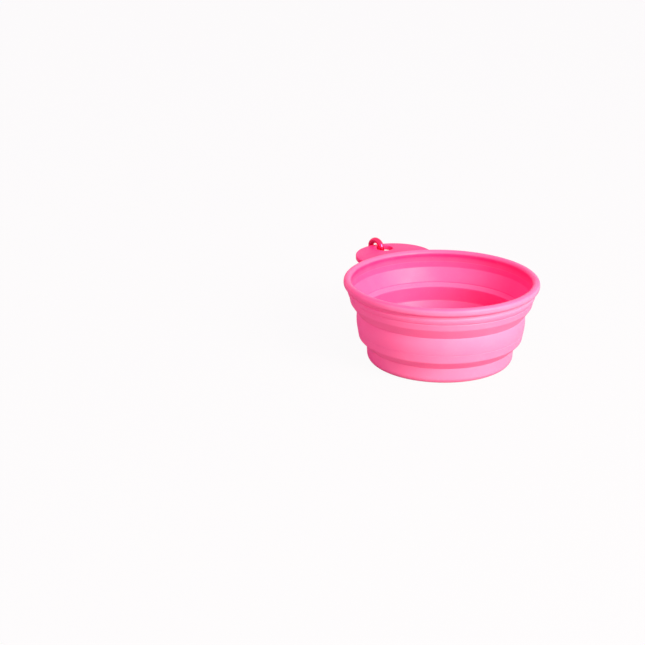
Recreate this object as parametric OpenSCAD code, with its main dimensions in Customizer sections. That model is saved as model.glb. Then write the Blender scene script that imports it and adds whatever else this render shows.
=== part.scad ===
// Collapsible silicone bowl with a stiff rim ring, a hang tab and a snap clip.
// The origin is the centre of the foot, +Z is up and the hang tab points along +X.
// The bowl stands open. Each fold is a ring that turns inside out, so the bands nest and the bowl lies flat.

/* [Bowl] */
// Outer diameter of the rim bead
rim_d = 130; // [120:1:160]
// Height of the base cup, from the foot to the lower hinge line
base_h = 11; // [9:0.5:16]
// Height of one open fold
fold_h = 11; // [9:0.5:14]
// Height of the middle band
middle_h = 12; // [9:0.5:16]
// Height of the silicone band under the rim ring
top_band_h = 4.4; // [4:0.2:8]
// How far the outside steps in from the top of the upper fold to its foot
upper_step = 5.6; // [5.4:0.2:8]
// How far the outside steps in from the top of the lower fold to its foot
lower_step = 6.2; // [5.4:0.2:8]
// How far the silicone wall is set in from the edge of the bead
rim_inset = 3.7; // [3.4:0.1:4.2]
// Wall of the bands below their inner lips
band_t = 2.3; // [1.8:0.1:2.8]
// Wall at the thin hinge line at the foot of a fold
hinge_t = 0.8; // [0.6:0.1:1.2]
// Wall at the head of a fold, where its inside runs into the band above
head_t = 1.2; // [1:0.1:1.6]
// How far the middle band leans in from its top to its bottom
band_draft = 0.2; // [0:0.1:0.6]
// Pull of the outward curve of the middle band
band_pull = 0.8; // [0:0.1:1]
// How far the knee of a fold lies inside the top of that fold
knee_in = 0.9; // [0.4:0.1:1.5]
// Height of the knee above the foot of the upper fold
upper_knee_h = 6.8; // [5:0.2:7.4]
// Height of the knee above the foot of the lower fold
lower_knee_h = 5.6; // [5:0.2:7.4]
// Height of the rounded inner lip on the middle band and the base cup
lip_h = 2.4; // [2:0.2:4]

/* [Base] */
// Draft of the outer wall of the base cup
base_draft = 0.4; // [0:0.1:1]
// Radius of the lower outer edge
base_edge_r = 4.2; // [2:0.2:5]
// Depth of the recess inside the foot ring
foot_recess = 1.6; // [0.8:0.1:2.4]
// Width of the flat foot ring
foot_w = 4.4; // [3:0.2:8]
// Thickness of the floor
floor_t = 2.6; // [1.8:0.1:3.2]
// Radius of the inner corner between floor and wall
floor_corner_r = 2.2; // [1:0.2:2.6]

/* [Rim ring] */
// Width of the bead
bead_w = 5.1; // [4.6:0.1:5.6]
// Height of the bead, which has round edges and short straight sides
bead_h = 5.7; // [5.6:0.1:6.6]
// Height of the bead's centre above the silicone band
bead_rise = 4.5; // [4.2:0.05:5]
// Thickness of the neck under the bead
neck_t = 2.05; // [1.8:0.05:2.3]
// How far the neck's inner face lies outside the bead's inner edge
neck_in = 0.1; // [0.05:0.05:0.3]
// Thickness of the locking rib that the silicone band grips
rib_t = 0.7; // [0.5:0.1:0.8]
// Depth of the locking rib
rib_h = 2.6; // [2:0.2:3]
// Clearance round the locking rib
rib_gap = 0.05; // [0.02:0.01:0.1]

/* [Hang tab] */
// Reach of the tab beyond the bead
tab_reach = 31.5; // [28:0.5:40]
// Radius of the tab's round end
tab_r = 27.5; // [24:0.5:30]
// Thickness of the tab
tab_t = 3.3; // [2:0.1:3.6]
// Height of the tab's underside above the silicone band
tab_rise = 0.5; // [0.3:0.1:1.2]
// Radius where the tab's sides run into the rim
tab_root_r = 6; // [3:0.5:10]
// Length over which the ends of the tab's root run out along the neck, under the bead
tab_taper = 6; // [3:0.5:10]
// Diameter of the hang hole
hang_hole_d = 12; // [11:0.5:14]
// Width of the strip between the hang hole and the end of the tab
strip_w = 4.4; // [4:0.2:7]

/* [Clip] */
// Overall length of the clip
clip_l = 36; // [34:0.5:45]
// Overall width of the clip at its wide end
clip_w = 23; // [22:0.5:28]
// Diameter of the clip's rod
clip_wire = 4; // [3.6:0.1:4.4]
// Radius of the rod's centre line at the wide corners
clip_corner_r = 5.5; // [5:0.1:6]
// How far the clip is turned on the tab, away from the tab's own direction
clip_turn = 18; // [0:1:30]
// How far the hanging clip leans in, so that its weight lies below the strip
clip_lean = 11; // [0:1:15]
// Clearance between the clip's narrow end and the strip that it hangs on
eye_gap = 0.45; // [0.3:0.05:1]

/* [Gate] */
// Diameter of the gate
gate_d = 3.8; // [3.4:0.1:4]
// Gap between the gate's ends and the clip's rod
gate_end_gap = 0.3; // [0.2:0.05:0.5]
// Thickness of the flattened lug and nose of the clip's rod
lug_t = 1.4; // [1.1:0.1:1.6]
// Width of the lug and the nose
lug_w = 2.6; // [2.2:0.1:2.8]
// Distance from the rivet to the heel of the lug
heel_l = 2; // [1.6:0.1:2.4]
// Clearance of the gate's slots round the lug and the nose
slot_gap = 0.15; // [0.1:0.05:0.2]
// Diameter of the gate rivet
rivet_d = 1.2; // [1:0.1:1.4]
// Diameter of the latch pin
latch_pin_d = 1; // [0.8:0.1:1.2]
// Length of the hooked nose
nose_l = 4.2; // [3.8:0.1:5]
// Distance of the latch pin from the root of the nose
latch_at = 2.4; // [2.2:0.1:2.6]
// Clearance of the nose's notch round the latch pin
notch_gap = 0.2; // [0.15:0.05:0.3]
// Clearance of the pins in their holes
pin_gap = 0.05; // [0.02:0.01:0.1]
// How far the pins' ends lie below the gate's surface
pin_sink = 0.1; // [0.05:0.05:0.3]

/* [Gate spring] */
// Bore of the gate that holds the plunger and the spring
spring_bore_d = 2; // [1.8:0.1:2.2]
// Clearance of the plunger and the spring in the bore
bore_gap = 0.1; // [0.05:0.05:0.15]
// Length of the plunger
plunger_l = 2.8; // [2:0.1:4]
// Length of the gate that stays solid between the end of the bore and the slot for the nose
bore_web = 2; // [1:0.1:4]
// Diameter of the spring's wire
spring_wire = 0.3; // [0.2:0.05:0.35]
// Spacing of the spring's turns
spring_pitch = 0.65; // [0.5:0.05:1]
// Gap at each end of the plunger and of the spring
seat_gap = 0.05; // [0.02:0.01:0.1]

/* [Hidden] */
$fn = 96;
// Cuts reach this far past the faces that they open, and joined forms this far into each other
cut = 1;
// Straight pieces along a curved outline
curve_steps = 12;
// Sides of the spring's wire, and steps in one of its turns
spring_sides = 6;
spring_steps = 12;

// Levels of the hinge lines, from the foot up
lower_fold_z = base_h;
middle_z = lower_fold_z + fold_h;
upper_fold_z = middle_z + middle_h;
top_band_z = upper_fold_z + fold_h;
seat_z = top_band_z + top_band_h;
bead_z = seat_z + bead_rise;

// Outer radii of the silicone wall at those levels, from the rim in
top_band_r = rim_d / 2 - rim_inset;
middle_top_r = top_band_r - upper_step;
middle_r = middle_top_r - band_draft;
base_top_r = middle_r - lower_step;
base_r = base_top_r - base_draft;

// Rim ring
bead_r = (rim_d - bead_w) / 2;
bead_side = bead_h - bead_w;
neck_inner_r = bead_r - bead_w / 2 + neck_in;
neck_outer_r = neck_inner_r + neck_t;
rib_r = neck_inner_r + (neck_t - rib_t) / 2;

// Hang tab: its end is a circle on the X axis, and its root runs into the rim on two round corners
tab_z = seat_z + tab_rise;
tab_tip = rim_d / 2 + tab_reach;
tab_c = tab_tip - tab_r;
hang_hole_c = tab_tip - strip_w - hang_hole_d / 2;
root_c_r = rim_d / 2 + tab_root_r;
root_c_a = acos((tab_c^2 + root_c_r^2 - (tab_r + tab_root_r)^2) / (2 * tab_c * root_c_r));
root_c = root_c_r * [cos(root_c_a), sin(root_c_a)];
root_rim = rim_d / 2 * [cos(root_c_a), sin(root_c_a)];
tab_start_r = (neck_inner_r + neck_outer_r) / 2;
root_end_a = root_c_a + tab_taper / tab_start_r * 180 / PI;
root_end = tab_start_r * [cos(root_end_a), sin(root_end_a)];
root_tab = [tab_c, 0] + tab_r * (root_c - [tab_c, 0]) / (tab_r + tab_root_r);

// The clip hangs on the strip beside the hang hole, along the direction that it is turned to
strip_end = sqrt(tab_r^2 - ((hang_hole_c - tab_c) * sin(clip_turn))^2)
    - (hang_hole_c - tab_c) * cos(clip_turn);
strip_along = strip_end - hang_hole_d / 2;
swing_at = hang_hole_d / 2 + strip_along / 2;
swing_c = [hang_hole_c + swing_at * cos(clip_turn), swing_at * sin(clip_turn), tab_z + tab_t / 2];

// Centre line of the clip's rod: a narrow round end about the swing axis, a straight spine on the bowl's side,
// two lower corners, and the gate along the line that touches the narrow end and the outer corner.
// The rod is bent to whole tenths, so the radius of the narrow end is rounded up.
eye_r = ceil((norm([strip_along, tab_t]) / 2 + eye_gap + clip_wire / 2) * 10) / 10;
corner_y = eye_r + clip_corner_r + clip_wire - clip_l;
inner_corner = [clip_corner_r - eye_r, corner_y];
outer_corner = [clip_w - eye_r - clip_wire - clip_corner_r, corner_y];
corner_dist = norm(outer_corner);
gate_a = acos((eye_r - clip_corner_r) / corner_dist) - atan2(-corner_y, outer_corner.x);
side_l = sqrt(corner_dist^2 - (eye_r - clip_corner_r)^2);
gate_top = eye_r * [cos(gate_a), sin(gate_a)];

// Places along the gate, measured from the end of the clip's narrow end
rivet_at = gate_end_gap + gate_d / 2;
heel_at = rivet_at + heel_l;
gate_end = side_l - gate_end_gap;
nose_tip = side_l - nose_l;
latch_pin_at = side_l - latch_at;
fork_slot_end = rivet_at + norm([heel_l, lug_w / 2]) + slot_gap;
nose_slot_start = nose_tip - gate_end_gap;
slot_t = lug_t + 2 * slot_gap;
pin_l = gate_d - 2 * pin_sink;
plunger_at = heel_at + seat_gap;
spring_at = plunger_at + plunger_l + seat_gap;
spring_bore_end = nose_slot_start - bore_web;
spring_l = spring_bore_end - spring_at - seat_gap;
spring_turns = floor((spring_l - spring_wire) / spring_pitch);
plunger_d = spring_bore_d - 2 * bore_gap;
coil_r = (plunger_d - spring_wire) / 2;

// Points of a cubic curve from a to d, pulled towards b and c
function curve(a, b, c, d) = [
    for (i = [0 : curve_steps])
        let (t = i / curve_steps, s = 1 - t)
            s^3 * a + 3 * s^2 * t * b + 3 * s * t^2 * c + t^3 * d
];

// Points of an arc round centre c
function arc(c, r, from, to) = [
    for (i = [0 : curve_steps])
        let (a = from + (to - from) * i / curve_steps)
            c + r * [cos(a), sin(a)]
];

// Rounded inner lip from the thin hinge line at [r, z] in and down to the band's inner face
function lip(r, z, inner_r) =
    curve([r, z], [(r + inner_r) / 2, z], [inner_r, z - lip_h / 3], [inner_r, z - lip_h]);

// One open fold. Its outside drops to a knee and turns in to the hinge line, and its inside is a plain cone.
module fold(top_r, z, step, knee_h) {
    knee = [top_r - knee_in, z + knee_h];
    foot = [top_r - step, z];
    rotate_extrude()
        polygon(concat(
            curve(foot, knee, knee, [top_r, z + fold_h]),
            [[top_r - head_t, z + fold_h], [foot.x - hinge_t, z]]));
}

// Rod along an arc of the clip's centre line
module rod_arc(c, r, from, to) {
    translate(c)
        rotate(from)
            rotate_extrude(angle = to - from)
                translate([r, 0])
                    circle(d = clip_wire);
}

// Round bar from one point of the clip's plane to another
module bar(from, to, d) {
    along = to - from;
    translate(from)
        rotate(atan2(along.y, along.x))
            rotate([0, 90, 0])
                cylinder(d = d, h = norm(along));
}

// Puts a clip piece, drawn in the XY plane with its swing axis at the origin, in its hanging place
module on_tab() {
    translate(swing_c)
        rotate(clip_turn)
            rotate([90, 0, 0])
                rotate(-clip_lean)
                    children();
}

// Turns X to run along the closed gate and Y to point out of the clip
module along_gate() {
    on_tab()
        translate(gate_top)
            rotate(gate_a - 90)
                children();
}

// Flat tongue along the gate, cut from the clip's own rod
module tongue(from, to, thick, wide) {
    intersection() {
        bar([from, 0], [to, 0], clip_wire);
        translate([from, -wide / 2, -thick / 2])
            cube([to - from, wide, thick]);
    }
}

// Hole or pin across the gate
module cross_pin(at, d, length) {
    translate([at, 0, -length / 2])
        cylinder(d = d, h = length);
}

// Outline of the hang tab, which starts inside the neck of the rim ring
module tab_outline() {
    difference() {
        union() {
            translate([tab_c, 0])
                circle(tab_r);
            polygon([[0, 0], root_end, root_rim, root_tab,
                [root_tab.x, -root_tab.y], [root_rim.x, -root_rim.y], [root_end.x, -root_end.y]]);
        }
        for (side = [-1, 1])
            translate([root_c.x, side * root_c.y])
                circle(tab_root_r);
        circle(tab_start_r);
        translate([hang_hole_c, 0])
            circle(d = hang_hole_d);
    }
}

module rim_ring() {
    color("hotpink") {
        rotate_extrude() {
            translate([bead_r, bead_z]) {
                for (end = [-1, 1])
                    translate([0, end * bead_side / 2])
                        circle(d = bead_w);
                square([bead_w, bead_side], center = true);
            }
            translate([neck_inner_r, seat_z])
                square([neck_t, bead_rise]);
            translate([rib_r, seat_z - rib_h])
                square([rib_t, rib_h + cut]);
        }
        translate([0, 0, tab_z])
            linear_extrude(tab_t)
                tab_outline();
    }
}

module top_band() {
    crown = [neck_outer_r, seat_z];
    color("hotpink")
        rotate_extrude()
            difference() {
                polygon(concat(
                    curve([top_band_r, top_band_z],
                        [neck_outer_r, top_band_z + top_band_h / 3],
                        [neck_outer_r + band_pull, seat_z - top_band_h / 4],
                        crown),
                    [[neck_inner_r, seat_z], [top_band_r - head_t, top_band_z]]));
                translate([rib_r - rib_gap, seat_z - rib_h - rib_gap])
                    square([rib_t + 2 * rib_gap, rib_h + rib_gap + cut]);
            }
}

module upper_fold() {
    color("hotpink")
        fold(top_band_r, upper_fold_z, upper_step, upper_knee_h);
}

module middle_band() {
    third = middle_h / 3;
    inner_r = middle_r - band_t;
    color("hotpink")
        rotate_extrude()
            polygon(concat(
                curve([middle_r, middle_z],
                    [middle_r + band_pull, middle_z + third],
                    [middle_top_r + band_pull, upper_fold_z - third],
                    [middle_top_r, upper_fold_z]),
                lip(middle_top_r - hinge_t, upper_fold_z, inner_r),
                [[middle_r - head_t, middle_z]]));
}

module lower_fold() {
    color("hotpink")
        fold(middle_r, lower_fold_z, lower_step, lower_knee_h);
}

module base_cup() {
    inner_r = base_r - band_t;
    floor_z = foot_recess + floor_t;
    foot_r = base_r - base_edge_r;
    color("hotpink")
        rotate_extrude()
            polygon(concat(
                [[0, foot_recess], [foot_r - foot_w, foot_recess], [foot_r - foot_w, 0]],
                arc([foot_r, base_edge_r], base_edge_r, -90, 0),
                [[base_top_r, lower_fold_z]],
                lip(base_top_r - hinge_t, lower_fold_z, inner_r),
                arc([inner_r - floor_corner_r, floor_z + floor_corner_r], floor_corner_r, 0, -90),
                [[0, floor_z]]));
}

module clip_body() {
    down = [0, -clip_corner_r];
    color("crimson") {
        on_tab() {
            rod_arc([0, 0], eye_r, 180, gate_a);
            bar([-eye_r, 0], [-eye_r, corner_y], clip_wire);
            rod_arc(inner_corner, clip_corner_r, 180, 270);
            bar(inner_corner + down, outer_corner + down, clip_wire);
            rod_arc(outer_corner, clip_corner_r, -90, gate_a);
        }
        along_gate() {
            difference() {
                tongue(-cut, heel_at, lug_t, lug_w);
                cross_pin(rivet_at, rivet_d + 2 * pin_gap, clip_wire);
            }
            difference() {
                tongue(nose_tip, side_l + cut, lug_t, lug_w);
                cross_pin(latch_pin_at, latch_pin_d + 2 * notch_gap, clip_wire);
                translate([latch_pin_at - latch_pin_d / 2 - notch_gap, -clip_wire, -clip_wire / 2])
                    cube([latch_pin_d + 2 * notch_gap, clip_wire, clip_wire]);
            }
        }
    }
}

module clip_gate() {
    color("crimson")
        along_gate()
            difference() {
                union() {
                    bar([rivet_at, 0], [gate_end, 0], gate_d);
                    intersection() {
                        bar([0, 0], [heel_at, 0], gate_d);
                        cross_pin(rivet_at, gate_d, gate_d);
                    }
                }
                translate([-cut, -gate_d, -slot_t / 2])
                    cube([fork_slot_end + cut, 2 * gate_d, slot_t]);
                translate([nose_slot_start, -gate_d, -slot_t / 2])
                    cube([nose_l + cut, 2 * gate_d, slot_t]);
                bar([heel_at, 0], [spring_bore_end, 0], spring_bore_d);
                cross_pin(rivet_at, rivet_d + 2 * pin_gap, gate_d + cut);
                cross_pin(latch_pin_at, latch_pin_d + 2 * pin_gap, gate_d + cut);
            }
}

module gate_rivet() {
    color("silver")
        along_gate()
            cross_pin(rivet_at, rivet_d, pin_l);
}

module latch_pin() {
    color("silver")
        along_gate()
            cross_pin(latch_pin_at, latch_pin_d, pin_l);
}

// Coil along the gate: rings of points that turn round the bore, closed with a flat face at each end
module gate_spring() {
    last = spring_turns * spring_steps;
    pitch = (spring_l - spring_wire) / last;
    points = [
        for (i = [0 : last], j = [0 : spring_sides - 1])
            let (turn = 360 * i / spring_steps,
                side = 360 * j / spring_sides,
                r = coil_r + spring_wire / 2 * cos(side))
                [spring_at + spring_wire / 2 + pitch * i + spring_wire / 2 * sin(side),
                    r * cos(turn), r * sin(turn)]
    ];
    wall = [
        for (i = [0 : last - 1], j = [0 : spring_sides - 1])
            let (a = i * spring_sides, k = (j + 1) % spring_sides)
                [a + j, a + spring_sides + j, a + spring_sides + k, a + k]
    ];
    first_end = [for (j = [0 : spring_sides - 1]) j];
    last_end = [for (j = [spring_sides - 1 : -1 : 0]) last * spring_sides + j];
    color("gainsboro")
        along_gate()
            polyhedron(points, concat(wall, [first_end, last_end]));
}

module gate_plunger() {
    color("silver")
        along_gate()
            bar([plunger_at, 0], [plunger_at + plunger_l, 0], plunger_d);
}

rim_ring();
top_band();
upper_fold();
middle_band();
lower_fold();
base_cup();
clip_body();
clip_gate();
gate_rivet();
latch_pin();
gate_spring();
gate_plunger();
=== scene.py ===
import bmesh
import bpy
import math
from mathutils import Matrix, Vector
from mathutils.geometry import interpolate_bezier


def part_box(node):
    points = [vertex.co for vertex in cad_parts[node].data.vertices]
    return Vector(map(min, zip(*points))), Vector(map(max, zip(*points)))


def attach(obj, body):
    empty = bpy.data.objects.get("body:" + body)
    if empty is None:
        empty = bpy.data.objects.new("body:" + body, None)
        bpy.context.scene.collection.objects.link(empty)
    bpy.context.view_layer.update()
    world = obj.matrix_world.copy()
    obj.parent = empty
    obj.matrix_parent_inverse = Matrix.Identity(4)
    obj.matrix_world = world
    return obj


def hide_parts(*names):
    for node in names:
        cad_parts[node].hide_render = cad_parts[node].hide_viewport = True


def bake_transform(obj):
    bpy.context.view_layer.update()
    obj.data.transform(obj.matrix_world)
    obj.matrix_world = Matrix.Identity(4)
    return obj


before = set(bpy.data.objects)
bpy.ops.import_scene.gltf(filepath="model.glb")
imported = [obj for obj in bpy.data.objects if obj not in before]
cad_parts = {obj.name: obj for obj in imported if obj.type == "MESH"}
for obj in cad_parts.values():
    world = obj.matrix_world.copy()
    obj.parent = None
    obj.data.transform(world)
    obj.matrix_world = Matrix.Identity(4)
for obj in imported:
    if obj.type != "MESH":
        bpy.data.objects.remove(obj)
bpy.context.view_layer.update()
mm = 0.001  # settings are in millimetres and degrees unless a note says otherwise


# Levels and radii come from the solids, so the looks follow them
def topOf(node):
    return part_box(node)[1].z / mm


def radiusOf(node):
    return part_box(node)[1].y / mm  # the bowl is round about Z, so its reach along Y is a radius


level = {
    "lowHinge": topOf("base_cup"),
    "lowBand": topOf("lower_fold"),
    "highHinge": topOf("middle_band"),
    "highBand": topOf("upper_fold"),
    "seat": topOf("top_band"),
    "crest": topOf("rim_ring"),
}
radius = {
    "base": radiusOf("base_cup"),
    "middle": radiusOf("lower_fold"),
    "top": radiusOf("upper_fold"),
    "rim": radiusOf("rim_ring"),
}


# Materials

def linear(hexColour):
    parts = [int(hexColour[i:i + 2], 16) / 255 for i in (0, 2, 4)]
    return [c / 12.92 if c <= 0.04045 else ((c + 0.055) / 1.055) ** 2.4 for c in parts] + [1.0]


def perMetre(size):
    return 1 / (size * mm)  # texture scale for features of that size, as Object coordinates are in metres


# Adds one node. Settings go to its sockets or its properties, links bring in other nodes' outputs.
def addNode(tree, kind, settings=(), links=()):
    node = tree.nodes.new(kind)
    for name, value in dict(settings).items():
        if isinstance(name, int) or name in node.inputs:
            node.inputs[name].default_value = value
        else:
            setattr(node, name, value)
    for name, source in dict(links).items():
        tree.links.new(source, node.inputs[name])
    return node


def newMaterial(name):
    material = bpy.data.materials.new(name)
    material.use_nodes = True
    material.node_tree.nodes.clear()
    return material, material.node_tree


mixFirst, mixSecond, mixResult = 6, 7, 2  # a Mix node's colour sockets, which share names with others
noiseLow, noiseHigh = 0.3, 0.7  # nearly all of a noise texture lies between these

silicone = {
    "name": "moulded_silicone",
    # painted shade: this colour goes on faces that look into the bowl
    "paintedShade": "FF529C",
    "paintedLight": "FF94BC",        # painted light: outer walls and tops are drawn paler, as if lit
    "paintedLightFrom": (-1.0, 1.0),  # how far a wall has to face out for the painted light
    "paintedLightUp": 0.7,           # what facing up counts against facing out
    "paintedLightShare": 0.8,        # how far that goes from the painted shade colour to the painted light one
    "cloudShare": 0.25,      # what the cloudy shifts add to it
    "bloom": "FFB4DA",       # pale bloom on rubbed edges
    "bloomEdge": (0.505, 0.56),  # pointiness of an edge where it starts and where it is full
    "bloomShare": 0.15,
    "dust": "FFD3EA",
    "dustShare": 0.35,
    "mottle": 16,            # width of the cloudy shifts of colour
    "grain": 0.6,            # spark-eroded mould grain, drawn coarser than the real 0.1 mm to show
    "grainHeight": 0.035,
    "grainStrength": 0.6,
    "smudge": 22,            # handling marks that change the gloss
    "speck": 1.6,            # spacing of the dust that silicone holds
    "speckEdge": (0.05, 0.11),  # a speck's full and faded radius, as shares of the spacing
    "rough": (0.42, 0.56),
    "ior": 1.41,
    "sheen": 0.5,            # share of the mirror part that the grain leaves, 0.5 being all of it
    "glow": 0.15,            # share of light that travels inside
    "glowDepth": (2.0, 0.6, 1.0),
}
polypropylene = dict(
    silicone,
    name="moulded_polypropylene",
    # painted shade colour and painted light colour, chosen by which way a face looks
    paintedShade="FF1C80",
    paintedLight="FF92BA",
    paintedLightFrom=(0.35, 0.95),
    paintedLightUp=0.0,
    paintedHighlightHeights=(54.3, 55.4),  # painted highlight: the bead's top is drawn paler, as if lit from above
    paintedHighlightShare=0.45,
    grain=0.45,
    grainHeight=0.02,
    rough=(0.36, 0.48),
    ior=1.49,
    sheen=0.25,
    glow=0.1,
    glowDepth=(1.5, 0.5, 0.8),
)


# Moulded silicone or stiff plastic: satin and a little cloudy, with a short glow inside,
# and painted light and shade: paler on faces that look out or up, deeper on faces that look into the bowl
def makeMoulded(spec):
    material, tree = newMaterial(spec["name"])
    coords = addNode(tree, "ShaderNodeTexCoord").outputs
    place = coords["Object"]
    mottle = addNode(
        tree, "ShaderNodeTexNoise",
        {"Scale": perMetre(spec["mottle"]), "Detail": 3.0},
        {"Vector": place})
    # painted light and shade: faces that look out (and, for silicone, up) get the pale colour, faces that
    # look into the bowl get the deep one
    flat = addNode(tree, "ShaderNodeVectorMath", {"operation": "MULTIPLY", 1: (1, 1, 0)}, {0: place})
    outward = addNode(tree, "ShaderNodeVectorMath", {"operation": "NORMALIZE"}, {0: flat.outputs[0]})
    litDirection = addNode(
        tree, "ShaderNodeVectorMath", {"operation": "ADD", 1: (0, 0, spec["paintedLightUp"])},
        {0: outward.outputs[0]})
    facing = addNode(
        tree, "ShaderNodeVectorMath", {"operation": "DOT_PRODUCT"},
        {0: litDirection.outputs[0], 1: coords["Normal"]})
    paintedLightMask = addNode(
        tree, "ShaderNodeMapRange",
        {
            "From Min": spec["paintedLightFrom"][0],
            "From Max": spec["paintedLightFrom"][1],
            "To Max": spec["paintedLightShare"],
        },
        {"Value": facing.outputs["Value"]})
    paintedLight = paintedLightMask.outputs["Result"]
    # painted highlight: a band of height round the bead's top is drawn paler
    if "paintedHighlightHeights" in spec:
        paintedHighlight = addNode(
            tree, "ShaderNodeMapRange",
            {
                "From Min": spec["paintedHighlightHeights"][0] * mm,
                "From Max": spec["paintedHighlightHeights"][1] * mm,
                "To Max": spec["paintedHighlightShare"],
            },
            {"Value": addNode(tree, "ShaderNodeSeparateXYZ", links={0: place}).outputs["Z"]})
        paintedLightAndHighlight = addNode(
            tree, "ShaderNodeMath", {"operation": "MAXIMUM"}, {0: paintedLight, 1: paintedHighlight.outputs["Result"]})
        paintedLight = paintedLightAndHighlight.outputs[0]
    cloudsAndPaintedLight = addNode(
        tree, "ShaderNodeMath", {"operation": "MULTIPLY_ADD", 1: spec["cloudShare"]},
        {0: mottle.outputs["Fac"], 2: paintedLight})
    # random cloudy tone mixed with the painted light and shade
    cloudyAndPaintedLight = addNode(
        tree, "ShaderNodeMix",
        {"data_type": "RGBA", mixFirst: linear(spec["paintedShade"]), mixSecond: linear(spec["paintedLight"])},
        {"Factor": cloudsAndPaintedLight.outputs[0]})
    edges = addNode(
        tree, "ShaderNodeMapRange",
        {
            "From Min": spec["bloomEdge"][0],
            "From Max": spec["bloomEdge"][1],
            "To Max": spec["bloomShare"],
        },
        {"Value": addNode(tree, "ShaderNodeNewGeometry").outputs["Pointiness"]})
    worn = addNode(
        tree, "ShaderNodeMix",
        {"data_type": "RGBA", mixSecond: linear(spec["bloom"])},
        {"Factor": edges.outputs["Result"], mixFirst: cloudyAndPaintedLight.outputs[mixResult]})
    specks = addNode(
        tree, "ShaderNodeTexVoronoi",
        {"Scale": perMetre(spec["speck"])},
        {"Vector": place})
    dusty = addNode(
        tree, "ShaderNodeMapRange",
        {
            "From Min": spec["speckEdge"][0],
            "From Max": spec["speckEdge"][1],
            "To Min": spec["dustShare"],
            "To Max": 0.0,
        },
        {"Value": specks.outputs["Distance"]})
    colour = addNode(
        tree, "ShaderNodeMix",
        {"data_type": "RGBA", mixSecond: linear(spec["dust"])},
        {"Factor": dusty.outputs["Result"], mixFirst: worn.outputs[mixResult]})
    smudge = addNode(
        tree, "ShaderNodeTexNoise",
        {"Scale": perMetre(spec["smudge"]), "Detail": 5.0, "Roughness": 0.6, "Distortion": 0.4},
        {"Vector": place})
    gloss = addNode(
        tree, "ShaderNodeMapRange",
        {
            "From Min": noiseLow,
            "From Max": noiseHigh,
            "To Min": spec["rough"][0],
            "To Max": spec["rough"][1],
        },
        {"Value": smudge.outputs["Fac"]})
    grain = addNode(
        tree, "ShaderNodeTexNoise",
        {"Scale": perMetre(spec["grain"]), "Detail": 2.0, "Roughness": 0.6},
        {"Vector": place})
    bump = addNode(
        tree, "ShaderNodeBump",
        {"Strength": spec["grainStrength"], "Distance": spec["grainHeight"] * mm},
        {"Height": grain.outputs["Fac"]})
    surface = addNode(
        tree, "ShaderNodeBsdfPrincipled",
        {
            "IOR": spec["ior"],
            "Specular IOR Level": spec["sheen"],
            "Subsurface Weight": spec["glow"],
            "Subsurface Radius": spec["glowDepth"],
            "Subsurface Scale": mm,
        },
        {
            "Base Color": colour.outputs[mixResult],
            "Roughness": gloss.outputs["Result"],
            "Normal": bump.outputs["Normal"],
        })
    addNode(tree, "ShaderNodeOutputMaterial", links={"Surface": surface.outputs["BSDF"]})
    return material


anodised = {
    "name": "anodised_aluminium",
    "dye": "FF0050",
    "thin": "FF3A7C",        # where the dyed layer is thinner
    "cloud": 6,
    "grain": 0.35,           # faint etch under the clear layer, drawn coarser than the real one to show
    "grainHeight": 0.006,
    "grainStrength": 0.4,
    "rough": (0.14, 0.26),
    "coat": 0.5,
    "coatRough": 0.06,
}


# Dyed and sealed aluminium: bright metal under a deep pink layer,
# with sharp white reflections on the clear seal
def makeAnodised(spec):
    material, tree = newMaterial(spec["name"])
    place = addNode(tree, "ShaderNodeTexCoord").outputs["Object"]
    cloud = addNode(
        tree, "ShaderNodeTexNoise",
        {"Scale": perMetre(spec["cloud"]), "Detail": 4.0},
        {"Vector": place})
    colour = addNode(
        tree, "ShaderNodeMix",
        {"data_type": "RGBA", mixFirst: linear(spec["dye"]), mixSecond: linear(spec["thin"])},
        {"Factor": cloud.outputs["Fac"]})
    etch = addNode(
        tree, "ShaderNodeTexNoise",
        {"Scale": perMetre(spec["grain"]), "Detail": 3.0},
        {"Vector": place})
    gloss = addNode(
        tree, "ShaderNodeMapRange",
        {
            "From Min": noiseLow,
            "From Max": noiseHigh,
            "To Min": spec["rough"][0],
            "To Max": spec["rough"][1],
        },
        {"Value": etch.outputs["Fac"]})
    bump = addNode(
        tree, "ShaderNodeBump",
        {"Strength": spec["grainStrength"], "Distance": spec["grainHeight"] * mm},
        {"Height": etch.outputs["Fac"]})
    surface = addNode(
        tree, "ShaderNodeBsdfPrincipled",
        {"Metallic": 1.0, "Coat Weight": spec["coat"], "Coat Roughness": spec["coatRough"]},
        {
            "Base Color": colour.outputs[mixResult],
            "Roughness": gloss.outputs["Result"],
            "Normal": bump.outputs["Normal"],
        })
    addNode(tree, "ShaderNodeOutputMaterial", links={"Surface": surface.outputs["BSDF"]})
    return material


drawnSteel = {
    "name": "drawn_steel",
    "bright": "D8D9DC",
    "dull": "A9ABB0",
    "streak": 0.25,          # width of the marks that the die leaves
    "rough": (0.22, 0.42),
}


# Drawn spring steel: grey metal with a fine dull mottle from the die
def makeSteel(spec):
    material, tree = newMaterial(spec["name"])
    place = addNode(tree, "ShaderNodeTexCoord").outputs["Object"]
    streak = addNode(
        tree, "ShaderNodeTexNoise",
        {"Scale": perMetre(spec["streak"]), "Detail": 3.0},
        {"Vector": place})
    colour = addNode(
        tree, "ShaderNodeMix",
        {"data_type": "RGBA", mixFirst: linear(spec["bright"]), mixSecond: linear(spec["dull"])},
        {"Factor": streak.outputs["Fac"]})
    gloss = addNode(
        tree, "ShaderNodeMapRange",
        {"To Min": spec["rough"][0], "To Max": spec["rough"][1]},
        {"Value": streak.outputs["Fac"]})
    surface = addNode(
        tree, "ShaderNodeBsdfPrincipled",
        {"Metallic": 1.0},
        {"Base Color": colour.outputs[mixResult], "Roughness": gloss.outputs["Result"]})
    addNode(tree, "ShaderNodeOutputMaterial", links={"Surface": surface.outputs["BSDF"]})
    return material


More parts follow.
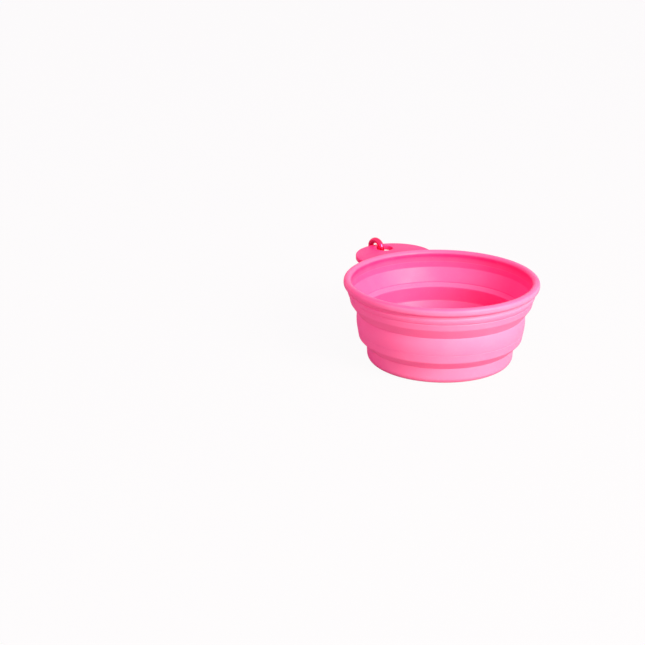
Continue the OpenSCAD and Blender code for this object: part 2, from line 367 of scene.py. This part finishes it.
siliconeFinish = makeMoulded(silicone)
rimFinish = makeMoulded(polypropylene)
clipFinish = makeAnodised(anodised)
steelFinish = makeSteel(drawnSteel)
print("materials made:", len(bpy.data.materials))


# Shapes

def curve(start, pullStart, pullEnd, end, steps):
    return [tuple(p) for p in interpolate_bezier(start, pullStart, pullEnd, end, steps + 1)]


def arc(centre, r, start, stop, steps):
    turn = [math.radians(start + (stop - start) * i / steps) for i in range(steps + 1)]
    return [(centre[0] + r * math.cos(a), centre[1] + r * math.sin(a)) for a in turn]


def line(start, end, steps):
    a, b = Vector(start), Vector(end)
    return [tuple(a.lerp(b, i / steps)) for i in range(steps + 1)]


spinning = {
    "steps": 224, "roundSteps": 5, "sharpAngle": 32, "merge": 0.002,
    "levelFrom": 0.9999,     # a face counts as level when its normal's height is more
}


# Wire through the points of a half section, (radius, height), with a third number to round a corner
def drawSection(bm, points, closed):
    verts = [bm.verts.new((p[0] * mm, 0, p[1] * mm)) for p in points]
    for a, b in zip(verts, verts[1:] + verts[:1] if closed else verts[1:]):
        bm.edges.new((a, b))
    for vert, point in zip(verts, points):
        if len(point) > 2:
            bmesh.ops.bevel(
                bm, geom=[vert], offset=point[2] * mm, offset_type="OFFSET", affect="VERTICES",
                segments=spinning["roundSteps"], profile=0.5, material=-1)


def finishPiece(bm, name, material):
    bmesh.ops.remove_doubles(bm, verts=bm.verts[:], dist=spinning["merge"] * mm)
    bmesh.ops.recalc_face_normals(bm, faces=bm.faces[:])
    for face in bm.faces:
        face.smooth = abs(face.normal.z) < spinning["levelFrom"]  # level faces stay flat and show no streaks
    for edge in bm.edges:
        edge.smooth = edge.calc_face_angle(0) < math.radians(spinning["sharpAngle"])
    mesh = bpy.data.meshes.new(name)
    bm.to_mesh(mesh)
    bm.free()
    mesh.materials.append(material)
    piece = bpy.data.objects.new(name, mesh)
    bpy.context.scene.collection.objects.link(piece)
    return piece


def spinPiece(name, points, closed, material):
    bm = bmesh.new()
    drawSection(bm, points, closed)
    bmesh.ops.spin(
        bm, geom=bm.verts[:] + bm.edges[:], cent=(0, 0, 0), axis=(0, 0, 1),
        angle=2 * math.pi, steps=spinning["steps"], use_merge=True)
    return finishPiece(bm, name, material)


# One fold: outside, a steep wall drops to a knee and a cone runs in to the hinge line,
# and inside, a plain cone ends in a small upright step above the lip
fold = {
    "wall": 2.3, "head": 1.2, "hinge": 0.55, "steps": 30, "wallSteps": 10,
    "kneeIn": 0.9, "lowKnee": 5.6, "highKnee": 6.8,
    "kneeRound": 1.2,        # how far from the knee its rounding starts
    "stepUp": 1.5,           # top of the step, above the hinge line
    "stepDrop": 0.5, "lipDrop": 1.5, "lipRound": 0.7, "lipSteps": 8,
    "crease": 0.18,          # depth of the fine line round the head of a fold, outside
}


def foldOutside(footR, footZ, topR, topZ, kneeUp):
    foot, top = Vector((footR, footZ)), Vector((topR, topZ))
    knee = Vector((topR - fold["kneeIn"], footZ + kneeUp))
    below = knee + (foot - knee).normalized() * fold["kneeRound"]
    above = knee + (top - knee).normalized() * fold["kneeRound"]
    steps = fold["steps"] // 3
    return [
        *line(foot, below, steps)[:-1],
        *curve(below, knee, knee, above, steps)[:-1],
        *line(above, top, steps),
    ]


def foldInside(topR, topZ, footR, footZ):
    top, foot = Vector((topR - fold["head"], topZ)), Vector((footR - fold["hinge"], footZ))
    step = foot.lerp(top, fold["stepUp"] / (topZ - footZ))
    return [*line(top, step, fold["steps"]), (step.x, step.y - fold["stepDrop"])]


# The lip inside a hinge: a slope down to the wall, with a small round at its lower edge
def innerLip(start, footZ, wallR):
    start, edge = Vector(start), Vector((wallR, footZ - fold["lipDrop"]))
    above = edge + (start - edge).normalized() * fold["lipRound"]
    below = (wallR, edge.y - fold["lipRound"])
    return [
        *line(start, above, fold["lipSteps"])[:-1],
        *curve(above, edge, edge, below, fold["lipSteps"]),
    ]


baseCup = {
    "draft": 0.4, "edge": 4.2, "edgeSteps": 10, "recess": 1.6, "footWidth": 4.4, "footRound": 0.5,
    "floor": 2.6, "corner": 2.2, "cornerSteps": 8, "floorSteps": 16,
}


# Lower half of the silicone body: foot, floor, base wall and the lower fold up to the middle band
def makeLowerBody():
    wallR = radius["base"] - baseCup["draft"]
    footR = wallR - baseCup["edge"]
    floorZ = baseCup["recess"] + baseCup["floor"]
    innerR = wallR - fold["wall"]
    ringR = footR - baseCup["footWidth"]
    outside = foldOutside(
        radius["base"], level["lowHinge"], radius["middle"], level["lowBand"], fold["lowKnee"])
    inside = foldInside(radius["middle"], level["lowBand"], radius["base"], level["lowHinge"])
    points = [
        *line((0, baseCup["recess"]), (ringR, baseCup["recess"]), baseCup["floorSteps"])[:-1],
        (ringR, baseCup["recess"], baseCup["footRound"]),
        (ringR, 0, baseCup["footRound"]),
        *arc((footR, baseCup["edge"]), baseCup["edge"], -90, 0, baseCup["edgeSteps"])[:-1],
        *line((wallR, baseCup["edge"]), outside[0], fold["wallSteps"])[:-1],
        *outside[:-1],
        (*outside[-1], fold["crease"]),
        *inside,
        *innerLip(inside[-1], level["lowHinge"], innerR)[1:],
        *arc((innerR - baseCup["corner"], floorZ + baseCup["corner"]), baseCup["corner"], 0, -90,
             baseCup["cornerSteps"])[:-1],
        *line((innerR - baseCup["corner"], floorZ), (0, floorZ), baseCup["floorSteps"]),
    ]
    piece = spinPiece("lower_silicone_body", points, False, siliconeFinish)
    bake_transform(piece)
    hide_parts("base_cup", "lower_fold")
    return piece


middleBand = {"draft": 0.2, "bulge": 0.8, "steps": 18}
topBand = {"neckOut": 0.75, "neckIn": 1.3, "bulge": 0.8, "steps": 14, "crownRound": 0.3}


# Upper half of the silicone body: the middle band, the upper fold and the band that grips the rim ring
def makeUpperBody():
    lowZ, hingeZ, bandZ, seatZ = (level[k] for k in ("lowBand", "highHinge", "highBand", "seat"))
    lowR = radius["middle"]
    hingeR = lowR + middleBand["draft"]
    third = (hingeZ - lowZ) / 3
    innerR = lowR - fold["wall"]
    crownR = radius["top"] + topBand["neckOut"]
    tall = seatZ - bandZ
    band = curve((lowR, lowZ), (lowR + middleBand["bulge"], lowZ + third),
                 (hingeR + middleBand["bulge"], hingeZ - third), (hingeR, hingeZ), middleBand["steps"])
    crown = curve((radius["top"], bandZ), (crownR, bandZ + tall / 3),
                  (crownR + topBand["bulge"], seatZ - tall / 4), (crownR, seatZ), topBand["steps"])
    inside = foldInside(radius["top"], bandZ, hingeR, hingeZ)
    lip = innerLip(inside[-1], hingeZ, innerR)
    points = [
        (*band[0], fold["crease"]),
        *band[1:-1],
        *foldOutside(hingeR, hingeZ, radius["top"], bandZ, fold["highKnee"])[:-1],
        (radius["top"] - fold["crease"], bandZ),
        *crown[1:-1],
        (*crown[-1], topBand["crownRound"]),
        *line((radius["top"] - topBand["neckIn"], seatZ), inside[0], fold["wallSteps"])[:-1],
        *inside,
        *lip[1:-1],
        *line(lip[-1], (lowR - fold["head"], lowZ), fold["wallSteps"]),
    ]
    piece = spinPiece("upper_silicone_body", points, True, siliconeFinish)
    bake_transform(piece)
    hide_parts("middle_band", "upper_fold", "top_band")
    return piece


rimRing = {"wide": 5.1, "high": 5.7, "neck": 2.05, "neckIn": 0.1, "neckRound": 0.25, "beadSteps": 20}
hangTab = {
    "radius": 27.5, "rootRadius": 6, "taper": 6, "thick": 3.3, "rise": 0.5, "hole": 12, "strip": 4.4,
    "edge": 0.6, "edgeSteps": 4, "endSteps": 72, "rootSteps": 14, "startSteps": 28,
    "cornerAngle": 80,       # turn between faces from which an edge of the plate is rounded
}


# The tab's plate: a round end on the X axis, two round roots that run out along the rim, and the hang hole
def makeTabPlate():
    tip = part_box("rim_ring")[1].x / mm
    startR = radius["rim"] - rimRing["wide"] + rimRing["neckIn"] + rimRing["neck"] / 2
    endX = tip - hangTab["radius"]
    holeX = tip - hangTab["strip"] - hangTab["hole"] / 2
    reach = radius["rim"] + hangTab["rootRadius"]
    joint = hangTab["radius"] + hangTab["rootRadius"]
    rootA = math.degrees(math.acos((endX ** 2 + reach ** 2 - joint ** 2) / (2 * endX * reach)))
    rootX, rootY = arc((0, 0), reach, rootA, rootA, 1)[0]
    sideA = math.degrees(math.atan2(rootY, rootX - endX))
    outA = rootA + math.degrees(hangTab["taper"] / startR)
    side = [
        *arc((endX, 0), hangTab["radius"], 0, sideA, hangTab["endSteps"] // 2)[1:],
        *arc((rootX, rootY), hangTab["rootRadius"], sideA - 180, rootA - 180, hangTab["rootSteps"])[1:],
        *arc((0, 0), startR, outA, 0, hangTab["startSteps"] // 2)[:-1],
    ]
    outline = [(tip, 0), *side, (startR, 0), *[(x, -y) for x, y in reversed(side)]]
    low = (level["seat"] + hangTab["rise"]) * mm
    bm = bmesh.new()
    outer = [bm.verts.new((x * mm, y * mm, low)) for x, y in outline]
    for a, b in zip(outer, outer[1:] + outer[:1]):
        bm.edges.new((a, b))
    bmesh.ops.create_circle(
        bm, cap_ends=False, radius=hangTab["hole"] / 2 * mm, segments=len(outer),
        matrix=Matrix.Translation((holeX * mm, 0, low)))
    bmesh.ops.triangle_fill(bm, use_beauty=True, edges=bm.edges[:])
    plate = bmesh.ops.extrude_face_region(bm, geom=bm.faces[:])
    bmesh.ops.translate(
        bm, vec=(0, 0, hangTab["thick"] * mm),
        verts=[v for v in plate["geom"] if isinstance(v, bmesh.types.BMVert)])
    bmesh.ops.recalc_face_normals(bm, faces=bm.faces[:])
    flatEdges = [e for e in bm.edges if abs(e.verts[0].co.z - e.verts[1].co.z) < spinning["merge"] * mm]
    corners = [e for e in flatEdges if e.calc_face_angle(0) > math.radians(hangTab["cornerAngle"])]
    bmesh.ops.bevel(
        bm, geom=corners, offset=hangTab["edge"] * mm, offset_type="OFFSET", affect="EDGES",
        segments=hangTab["edgeSteps"], profile=0.5, material=-1)
    return finishPiece(bm, "tab_plate", rimFinish)


# Stiff ring: a bead with round edges on a short neck, joined to the tab's plate in one moulding
def makeRimRing():
    beadR = rimRing["wide"] / 2
    beadX = radius["rim"] - beadR
    upper = (beadX, level["crest"] - beadR)
    lower = (beadX, level["crest"] - rimRing["high"] + beadR)
    innerR = beadX - beadR + rimRing["neckIn"]
    outerR = innerR + rimRing["neck"]
    outerA = -math.degrees(math.acos((outerR - beadX) / beadR))
    innerA = 360 - math.degrees(math.acos((innerR - beadX) / beadR))
    outside = arc(lower, beadR, outerA, 0, rimRing["beadSteps"])
    inside = arc(lower, beadR, 180, innerA, rimRing["beadSteps"])
    points = [
        (innerR, level["seat"]),
        (outerR, level["seat"]),
        (*outside[0], rimRing["neckRound"]),
        *outside[1:],
        *arc(upper, beadR, 0, 180, rimRing["beadSteps"]),
        *inside[:-1],
        (*inside[-1], rimRing["neckRound"]),
    ]
    ring = spinPiece("rim_ring_and_tab", points, True, rimFinish)
    plate = makeTabPlate()
    join = ring.modifiers.new("join", "BOOLEAN")
    join.operation = "UNION"
    join.solver = "MANIFOLD"
    join.object = plate
    graph = bpy.context.evaluated_depsgraph_get()
    joined = bpy.data.meshes.new_from_object(ring.evaluated_get(graph))
    bm = bmesh.new()
    bm.from_mesh(joined)
    for old in (ring, plate):
        bpy.data.objects.remove(old)
    piece = finishPiece(bm, "rim_ring_and_tab", rimFinish)
    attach(piece, "rim")
    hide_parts("rim_ring")
    return piece


made = [makeLowerBody(), makeUpperBody(), makeRimRing()]
print("bowl made:", {p.name: len(p.data.polygons) for p in made})


# The spring inside the gate is the solid's own coil
def makeSpring():
    bm = bmesh.new()
    bm.from_mesh(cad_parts["gate_spring"].data)
    piece = finishPiece(bm, "coil_spring", steelFinish)
    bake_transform(piece)
    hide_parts("gate_spring")


makeSpring()


# The clip's own solids have the right shape, so they only take their finish
def finishNodes(nodes, material):
    for node in nodes:
        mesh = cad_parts[node].data
        mesh.materials.clear()
        mesh.materials.append(material)


finishNodes(["clip_body", "clip_gate"], clipFinish)
finishNodes(["gate_rivet", "latch_pin", "gate_plunger"], steelFinish)
print("clip finished")


# Stage, light and camera

stage = {
    "floorSize": 8.0,        # metres
    "floor": "B4B4B4",
    "whiteShare": 0.95,      # how much of the floor the camera sees as plain white
    "worldLight": 1.0,
    "worldTint": "FF80C8",   # pink cards round the table
}


def makeStage():
    world = bpy.data.worlds.new("studio")
    bpy.context.scene.world = world
    world.use_nodes = True
    tree = world.node_tree
    tree.nodes.clear()
    rays = addNode(tree, "ShaderNodeLightPath").outputs
    seen = addNode(
        tree, "ShaderNodeMath", {"operation": "MAXIMUM"},
        {0: rays["Is Camera Ray"], 1: rays["Is Glossy Ray"]})
    seen = addNode(
        tree, "ShaderNodeMath", {"operation": "MAXIMUM"},
        {0: seen.outputs[0], 1: rays["Is Transmission Ray"]})
    soft = addNode(
        tree, "ShaderNodeBackground",
        {"Color": linear(stage["worldTint"]), "Strength": stage["worldLight"]})
    white = addNode(tree, "ShaderNodeBackground", {"Color": linear("FFFFFF"), "Strength": 1.0})
    both = addNode(
        tree, "ShaderNodeMixShader", (),
        {0: seen.outputs[0], 1: soft.outputs[0], 2: white.outputs[0]})
    addNode(tree, "ShaderNodeOutputWorld", links={"Surface": both.outputs[0]})

    material, tree = newMaterial("studio_floor")
    rays = addNode(tree, "ShaderNodeLightPath").outputs
    share = addNode(
        tree, "ShaderNodeMath", {"operation": "MULTIPLY", 1: stage["whiteShare"]},
        {0: rays["Is Camera Ray"]})
    paint = addNode(tree, "ShaderNodeBsdfDiffuse", {"Color": linear(stage["floor"])})
    white = addNode(tree, "ShaderNodeEmission", {"Color": linear("FFFFFF"), "Strength": 1.0})
    both = addNode(
        tree, "ShaderNodeMixShader", (),
        {0: share.outputs[0], 1: paint.outputs[0], 2: white.outputs[0]})
    addNode(tree, "ShaderNodeOutputMaterial", links={"Surface": both.outputs[0]})
    bm = bmesh.new()
    bmesh.ops.create_grid(bm, x_segments=1, y_segments=1, size=stage["floorSize"] / 2)
    floor = finishPiece(bm, "studio_floor", material)


view = {
    "place": (-834.8, 456.3, 367.7),  # the camera, from the centre of the foot
    "heading": -23.9,                 # from +X towards +Y
    "down": 19.868,
    "roll": -0.06,
    "lens": 83.95,
    "sensor": 36,
    "nearest": 10,                    # anything closer isn't drawn
}


def makeCamera():
    heading, down, roll = (math.radians(view[k]) for k in ("heading", "down", "roll"))
    ahead = Vector((
        math.cos(heading) * math.cos(down),
        math.sin(heading) * math.cos(down),
        -math.sin(down)))
    across = ahead.cross(Vector((0, 0, 1))).normalized()
    above = across.cross(ahead)
    right = across * math.cos(roll) + above * math.sin(roll)
    up = above * math.cos(roll) - across * math.sin(roll)
    data = bpy.data.cameras.new("photo_camera")
    data.sensor_width = view["sensor"]
    data.lens = view["lens"]
    data.clip_start = view["nearest"] * mm
    camera = bpy.data.objects.new("photo_camera", data)
    turn = Matrix((right, up, -ahead)).transposed().to_4x4()
    camera.matrix_world = Matrix.Translation(Vector(view["place"]) * mm) @ turn
    bpy.context.scene.collection.objects.link(camera)
    bpy.context.scene.camera = camera


# Softboxes stand round the bowl: side is the angle to the right of the camera, away and size are in metres
lamps = {
    "key": {"side": 46, "height": 30, "away": 1.6, "size": 0.9, "watts": 36, "tint": "FFFFE6"},
    "back": {"side": 170, "height": 50, "away": 1.8, "size": 0.8, "watts": 0.6, "tint": "FFFFFF"},
}


def makeLamps():
    cameraSide = math.atan2(view["place"][1], view["place"][0])
    target = Vector((0, 0, level["lowBand"] * mm))
    for name, lamp in lamps.items():
        turn = cameraSide + math.radians(lamp["side"])
        height = math.radians(lamp["height"])
        away = Vector((
            math.cos(turn) * math.cos(height),
            math.sin(turn) * math.cos(height),
            math.sin(height)))
        data = bpy.data.lights.new(name, "AREA")
        data.shape = "DISK"
        data.size = lamp["size"]
        data.energy = lamp["watts"]
        data.color = linear(lamp["tint"])[:3]
        light = bpy.data.objects.new(name, data)
        aim = away.to_track_quat("Z", "Y").to_matrix().to_4x4()
        light.matrix_world = Matrix.Translation(target + away * lamp["away"]) @ aim
        bpy.context.scene.collection.objects.link(light)


makeStage()
makeCamera()
makeLamps()
bpy.context.scene.view_settings.view_transform = "Standard"
print("stage, camera and lamps set")
